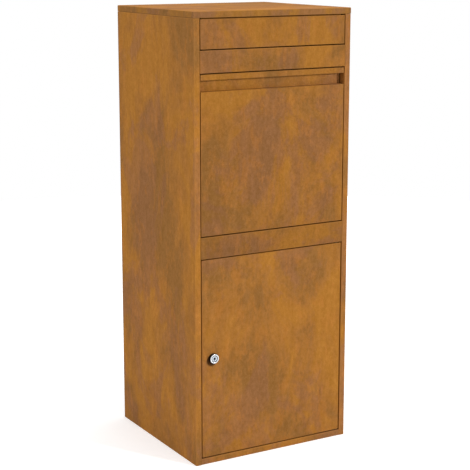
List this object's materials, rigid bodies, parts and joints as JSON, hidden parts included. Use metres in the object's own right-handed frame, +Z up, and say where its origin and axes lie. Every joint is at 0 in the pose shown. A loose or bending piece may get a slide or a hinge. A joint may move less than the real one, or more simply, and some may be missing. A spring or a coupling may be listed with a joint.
{
  "type": "parcel mailbox",
  "caption": "Tall free-standing steel mailbox with an inward letter flap, a tilting parcel hopper and a lower door with a cam lock.",
  "frame": {"origin": "centre of the footprint, on the floor", "axes": "+Z up, the front with its flaps and door faces -Y, +X to the right as seen from the front"},
  "size_m": [0.415, 0.3923, 1.045],
  "materials": {
    "rusted_sheet": "evenly rusted, matt",
    "bare_steel": "plain zinc-plated",
    "lock_chrome": "polished"
  },
  "bodies": {
    "root": {"left_side": "rusted_sheet", "right_side": "rusted_sheet", "back_panel": "rusted_sheet", "floor_pan": "rusted_sheet", "top_cap": "rusted_sheet", "letter_stop": "rusted_sheet", "upper_rail": "rusted_sheet", "middle_rail": "rusted_sheet", "letter_chute": "rusted_sheet", "retrieval_guard": "rusted_sheet", "letter_flap_rod": "bare_steel", "cap_screw_1": "bare_steel", "cap_screw_2": "bare_steel", "cap_screw_3": "bare_steel", "cap_screw_4": "bare_steel"},
    "letter_flap_body": {"letter_flap": "rusted_sheet"},
    "parcel_flap_body": {"parcel_flap": "rusted_sheet", "hopper_floor": "rusted_sheet", "hopper_cheek_left": "rusted_sheet", "hopper_cheek_right": "rusted_sheet", "parcel_pin_left": "bare_steel", "parcel_pin_right": "bare_steel", "pin_clip_left": "bare_steel", "pin_clip_right": "bare_steel", "hopper_rivet_left_1": "bare_steel", "hopper_rivet_left_2": "bare_steel", "hopper_rivet_left_3": "bare_steel", "hopper_rivet_right_1": "bare_steel", "hopper_rivet_right_2": "bare_steel", "hopper_rivet_right_3": "bare_steel"},
    "door_body": {"door_panel": "rusted_sheet", "door_stiffener": "rusted_sheet", "door_pin_top": "bare_steel", "door_pin_bottom": "bare_steel", "lock_body": "lock_chrome", "lock_nut": "bare_steel"},
    "lock_core": {"lock_plug": "lock_chrome", "lock_cam": "bare_steel", "cam_screw": "bare_steel"}
  },
  "joints": [
    {"name": "letter_flap_hinge", "type": "hinge", "parent": "root", "child": "letter_flap_body", "pos_m": [0, -0.1879, 1.0195], "axis": [1, 0, 0], "range_deg": [0, 60]},
    {"name": "parcel_flap_hinge", "type": "hinge", "parent": "root", "child": "parcel_flap_body", "pos_m": [0, -0.1845, 0.555], "axis": [1, 0, 0], "range_deg": [0, 50]},
    {"name": "door_hinge", "type": "hinge", "parent": "root", "child": "door_body", "pos_m": [0.1785, -0.1855, 0.2525], "axis": [0, 0, 1], "range_deg": [0, 110]},
    {"name": "lock_turn", "type": "hinge", "parent": "door_body", "child": "lock_core", "pos_m": [-0.162, -0.1915, 0.255], "axis": [0, 1, 0], "range_deg": [0, 90]}
  ]
}
